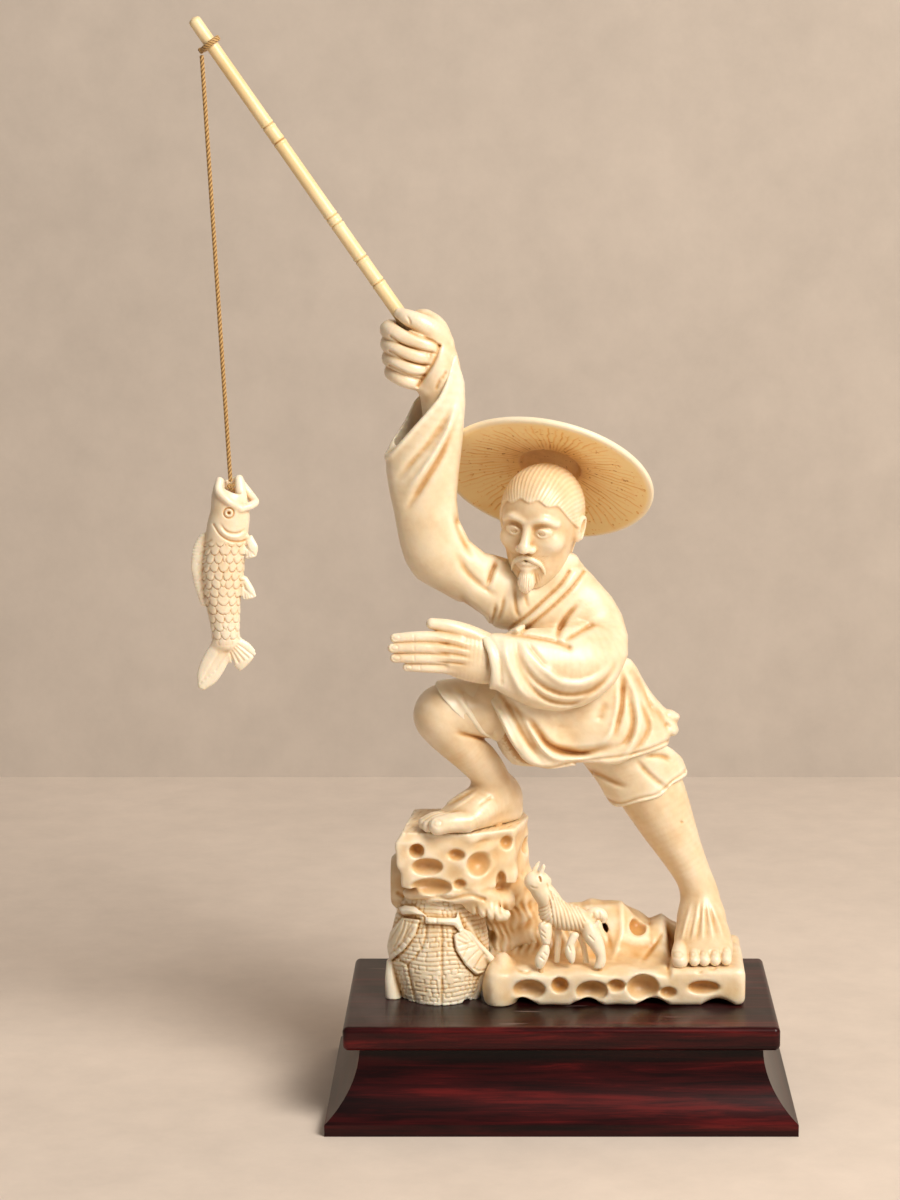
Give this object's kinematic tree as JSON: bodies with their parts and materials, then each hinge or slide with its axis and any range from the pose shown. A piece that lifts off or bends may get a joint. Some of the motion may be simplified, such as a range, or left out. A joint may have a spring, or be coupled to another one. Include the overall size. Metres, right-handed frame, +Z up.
{
  "type": "okimono carving",
  "caption": "Carved fisher on a pitted rock, in a robe and dished hat, lifting a rod with a fish on a cord, with creel and dog, on a cove-moulded wooden stand.",
  "frame": {"origin": "middle of the stand's underside", "axes": "+Z up; +X to the viewer's right along the stand's long side; -Y towards the viewer"},
  "size_m": [0.186, 0.087, 0.3394],
  "materials": {
    "dark_hardwood": "polished dark red hardwood",
    "screw_steel": "plain countersunk wood screws",
    "rod_resin": "pale cast resin carved as bamboo, stained at the nodes",
    "waxed_cord": "golden brown twisted cord",
    "peg_wood": "plain dowel, hidden in its bores",
    "hat_resin": "cast resin with fine engraved rays, stained amber",
    "ivory_look_resin": "cream cast resin with amber stain in the carving, softly polished"
  },
  "bodies": {
    "carving": {"stand_front_moulding": "dark_hardwood", "stand_right_moulding": "dark_hardwood", "stand_back_moulding": "dark_hardwood", "stand_left_moulding": "dark_hardwood", "stand_core": "dark_hardwood", "stand_top_board": "dark_hardwood", "stand_screws": "screw_steel", "neck_peg": "peg_wood", "hat_peg": "peg_wood", "wrist_pegs": "peg_wood", "waist_peg": "peg_wood", "foot_pegs": "peg_wood", "rock_pegs": "peg_wood", "dog_pegs": "peg_wood", "rock_base": "ivory_look_resin", "rock_pillar": "ivory_look_resin", "rock_ledge": "ivory_look_resin", "creel": "ivory_look_resin", "dog": "ivory_look_resin", "bent_leg": "ivory_look_resin", "standing_leg": "ivory_look_resin", "robe_torso": "ivory_look_resin", "head": "ivory_look_resin", "hat": "hat_resin", "raised_sleeve": "ivory_look_resin", "raised_fist": "ivory_look_resin", "lowered_sleeve": "ivory_look_resin", "open_hand": "ivory_look_resin", "robe_skirt": "ivory_look_resin", "bent_trouser": "ivory_look_resin", "straight_trouser": "ivory_look_resin"},
    "rod": {"rod": "rod_resin", "line_wrap": "waxed_cord"},
    "line_knot": {"line_knot": "waxed_cord"},
    "line": {"line": "waxed_cord"},
    "mouth_knot": {"mouth_knot": "waxed_cord"},
    "fish": {"fish": "ivory_look_resin"}
  },
  "joints": [
    {"name": "rod_slide", "type": "slide", "parent": "carving", "child": "rod", "axis": [-0.5698, 0, 0.8218], "range_m": [0, 0.016]},
    {"name": "line_swing_fore_aft", "type": "hinge", "parent": "rod", "child": "line_knot", "pos_m": [-0.10847, -0.00773, 0.32919], "axis": [1, 0, 0], "range_deg": [-35, 35]},
    {"name": "line_swing_side", "type": "hinge", "parent": "line_knot", "child": "line", "pos_m": [-0.10847, -0.00773, 0.32919], "axis": [0, 1, 0], "range_deg": [-12, 35]},
    {"name": "fish_spin", "type": "hinge", "parent": "line", "child": "mouth_knot", "pos_m": [-0.10182, -0.00773, 0.1969], "axis": [0.0502, 0, -0.9987], "range_deg": [-180, 180]},
    {"name": "fish_tilt", "type": "hinge", "parent": "mouth_knot", "child": "fish", "pos_m": [-0.10182, -0.00773, 0.1969], "axis": [0, 1, 0], "range_deg": [-12, 12]}
  ]
}
